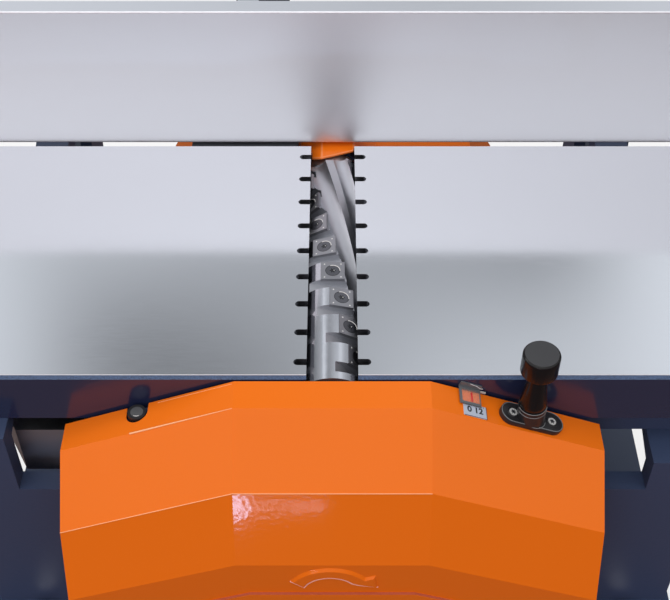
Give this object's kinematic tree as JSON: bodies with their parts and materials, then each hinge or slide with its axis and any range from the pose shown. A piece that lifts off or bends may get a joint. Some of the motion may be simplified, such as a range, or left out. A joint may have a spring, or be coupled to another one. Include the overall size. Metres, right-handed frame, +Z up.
{
  "type": "planer thicknesser",
  "caption": "Woodworking planer thicknesser: two surface tables over a spiral cutterblock with a sliding tilting fence, and a handwheel-raised thicknessing table with feed rollers below.",
  "frame": {"origin": "on the floor, in the middle of the four anchor bolts, under the cutterblock", "axes": "+X along the feed line towards the infeed end, -Y towards the operator, +Z up"},
  "size_m": [1.4, 0.8445, 1.026],
  "materials": {
    "orange_paint": "satin orange moulding",
    "ground_iron": "ground grey top, painted sides",
    "navy_paint": "semi gloss dark blue",
    "cabinet_paint": "semi gloss dark blue",
    "frame_iron": "painted dark blue",
    "bright_steel": "turned and ground",
    "carbide": "dark carbide",
    "fence_aluminium": "anodised",
    "dark_metal": "matt dark grey",
    "black_plastic": "matt black",
    "grey_plastic": "matt grey",
    "clear_plastic": "clear",
    "black_rubber": "matt",
    "green_plastic": "glossy",
    "red_plastic": "glossy",
    "galvanised_sheet": "light grey",
    "label_white": "printed plate"
  },
  "bodies": {
    "base": {"base_cabinet": "cabinet_paint", "service_panel": "dark_metal", "front_frame": "frame_iron", "rear_frame": "frame_iron", "frame_bolts": "bright_steel", "front_cover": "orange_paint", "rear_cover": "orange_paint", "rear_bearing_cap": "orange_paint", "front_cutter_bearing": "bright_steel", "rear_cutter_bearing": "bright_steel", "motor": "dark_metal", "drive_belt": "black_rubber", "feed_gearmotor": "dark_metal", "feed_chains": "dark_metal", "finger_shaft": "bright_steel", "chute_rails": "bright_steel", "table_rests": "frame_iron", "hinge_brackets": "frame_iron", "hinge_pins": "bright_steel", "column_guide": "frame_iron", "lift_gearbox": "frame_iron", "switch_box": "grey_plastic", "cable_gland": "black_plastic", "depth_scale": "label_white", "knob_flange": "black_plastic", "stop_bolt_sleeve": "black_plastic", "stop_bolt": "bright_steel"},
    "cutter": {"cutterblock": "bright_steel", "carbide_inserts": "carbide", "insert_screws": "bright_steel", "cutter_pulley": "bright_steel"},
    "motor_rotor": {"motor_pulley": "bright_steel"},
    "serrated_slide": {"serrated_roller_blocks": "bright_steel"},
    "serrated_roller": {"serrated_feed_roller": "bright_steel"},
    "smooth_slide": {"smooth_roller_blocks": "bright_steel"},
    "smooth_roller": {"smooth_feed_roller": "bright_steel"},
    "feed_drive": {"feed_drive_sprocket": "bright_steel"},
    "fingers": {"kickback_fingers": "bright_steel"},
    "handwheel": {"handwheel": "dark_metal"},
    "crank_knob": {"crank_knob": "black_plastic"},
    "lift_screw": {"lift_screw": "bright_steel"},
    "lift_table": {"thickness_table": "ground_iron", "lift_column": "bright_steel"},
    "outfeed": {"outfeed_table": "ground_iron", "outfeed_hinge_arm": "frame_iron", "fence_bracket": "dark_metal"},
    "infeed_carrier": {"infeed_carrier": "frame_iron"},
    "infeed": {"infeed_table": "ground_iron", "depth_pointer": "grey_plastic", "pointer_window": "clear_plastic"},
    "fence_carriage": {"fence_carriage": "bright_steel"},
    "fence": {"tilt_block": "dark_metal", "fence_plate": "fence_aluminium", "fence_end_caps": "black_plastic"},
    "fence_lock_lever": {"fence_lock_lever": "black_plastic"},
    "tilt_lock_knob": {"tilt_lock_knob": "black_plastic"},
    "depth_knob": {"depth_knob": "black_plastic"},
    "start_button": {"start_button": "green_plastic"},
    "stop_button": {"stop_button": "red_plastic"},
    "chip_chute": {"chip_chute": "galvanised_sheet"}
  },
  "joints": [
    {"name": "cutterblock_spin", "type": "hinge", "parent": "base", "child": "cutter", "pos_m": [0, 0, 0.834], "axis": [0, 1, 0], "continuous": true},
    {"name": "motor_spin", "type": "hinge", "parent": "base", "child": "motor_rotor", "pos_m": [0.19, -0.186, 0.3], "axis": [0, 1, 0], "continuous": true},
    {"name": "serrated_roller_float", "type": "slide", "parent": "base", "child": "serrated_slide", "axis": [0, 0, 1], "range_m": [0, 0.004], "stiffness_N_per_m": 20000, "springref_m": -0.01},
    {"name": "smooth_roller_float", "type": "slide", "parent": "base", "child": "smooth_slide", "axis": [0, 0, 1], "range_m": [0, 0.004], "stiffness_N_per_m": 20000, "springref_m": -0.01},
    {"name": "serrated_roller_spin", "type": "hinge", "parent": "serrated_slide", "child": "serrated_roller", "pos_m": [-0.075, 0, 0.817], "axis": [0, -1, 0], "continuous": true},
    {"name": "smooth_roller_spin", "type": "hinge", "parent": "smooth_slide", "child": "smooth_roller", "pos_m": [0.075, 0, 0.817], "axis": [0, -1, 0], "continuous": true},
    {"name": "feed_drive_spin", "type": "hinge", "parent": "base", "child": "feed_drive", "pos_m": [0, 0.2, 0.74], "axis": [0, -1, 0], "continuous": true},
    {"name": "kickback_swing", "type": "hinge", "parent": "base", "child": "fingers", "pos_m": [-0.14, 0, 0.824], "axis": [0, -1, 0], "range_deg": [0, 50]},
    {"name": "handwheel_turn", "type": "hinge", "parent": "base", "child": "handwheel", "pos_m": [0, -0.275, 0.238], "axis": [0, 1, 0], "range_deg": [0, 10800]},
    {"name": "crank_knob_spin", "type": "hinge", "parent": "handwheel", "child": "crank_knob", "pos_m": [0.095, -0.3, 0.238], "axis": [0, 1, 0], "continuous": true},
    {"name": "lift_screw_turn", "type": "hinge", "parent": "base", "child": "lift_screw", "pos_m": [0, 0, 0.4], "axis": [0, 0, 1], "range_deg": [0, 10801]},
    {"name": "thickness_height", "type": "slide", "parent": "base", "child": "lift_table", "axis": [0, 0, 1], "range_m": [0, 0.1501]},
    {"name": "infeed_swing", "type": "hinge", "parent": "base", "child": "infeed_carrier", "pos_m": [0.3025, 0.285, 0.84], "axis": [-1, 0, 0], "range_deg": [0, 90]},
    {"name": "outfeed_swing", "type": "hinge", "parent": "base", "child": "outfeed", "pos_m": [-0.3025, 0.285, 0.84], "axis": [-1, 0, 0], "range_deg": [0, 90]},
    {"name": "infeed_depth", "type": "slide", "parent": "infeed_carrier", "child": "infeed", "axis": [0.9336, 0, -0.3584], "range_m": [0, 0.0112]},
    {"name": "depth_knob_turn", "type": "hinge", "parent": "base", "child": "depth_knob", "pos_m": [0.169, -0.1734, 0.86], "axis": [0, 0, 1], "range_deg": [0, 180.1]},
    {"name": "fence_slide", "type": "slide", "parent": "outfeed", "child": "fence_carriage", "axis": [0, -1, 0], "range_m": [0, 0.25]},
    {"name": "fence_tilt", "type": "hinge", "parent": "fence_carriage", "child": "fence", "pos_m": [-0.094, 0.1935, 0.89], "axis": [-1, 0, 0], "range_deg": [0, 45]},
    {"name": "fence_lock_turn", "type": "hinge", "parent": "outfeed", "child": "fence_lock_lever", "pos_m": [-0.094, 0.2385, 0.93], "axis": [0, 0, 1], "range_deg": [0, 90]},
    {"name": "tilt_lock_turn", "type": "hinge", "parent": "fence_carriage", "child": "tilt_lock_knob", "pos_m": [-0.032, 0.1935, 0.89], "axis": [1, 0, 0], "range_deg": [0, 180]},
    {"name": "chute_draw", "type": "slide", "parent": "base", "child": "chip_chute", "axis": [-1, 0, 0], "range_m": [0, 0.32]},
    {"name": "start_press", "type": "slide", "parent": "base", "child": "start_button", "axis": [0, 1, 0], "range_m": [0, 0.004], "stiffness_N_per_m": 800, "springref_m": -0.002},
    {"name": "stop_press", "type": "slide", "parent": "base", "child": "stop_button", "axis": [0, 1, 0], "range_m": [0, 0.004], "stiffness_N_per_m": 800, "springref_m": -0.002}
  ],
  "couplings": [
    {"joint": "motor_spin", "follows": "cutterblock_spin", "ratio": 0.5},
    {"joint": "smooth_roller_spin", "follows": "serrated_roller_spin", "ratio": 1},
    {"joint": "feed_drive_spin", "follows": "serrated_roller_spin", "ratio": 1},
    {"joint": "lift_screw_turn", "follows": "handwheel_turn", "ratio": 1},
    {"joint": "thickness_height", "follows": "handwheel_turn", "m_per_rad": 0.00079577},
    {"joint": "outfeed_swing", "follows": "infeed_swing", "ratio": 1},
    {"joint": "depth_knob_turn", "follows": "infeed_depth", "rad_per_m": 280.5}
  ]
}
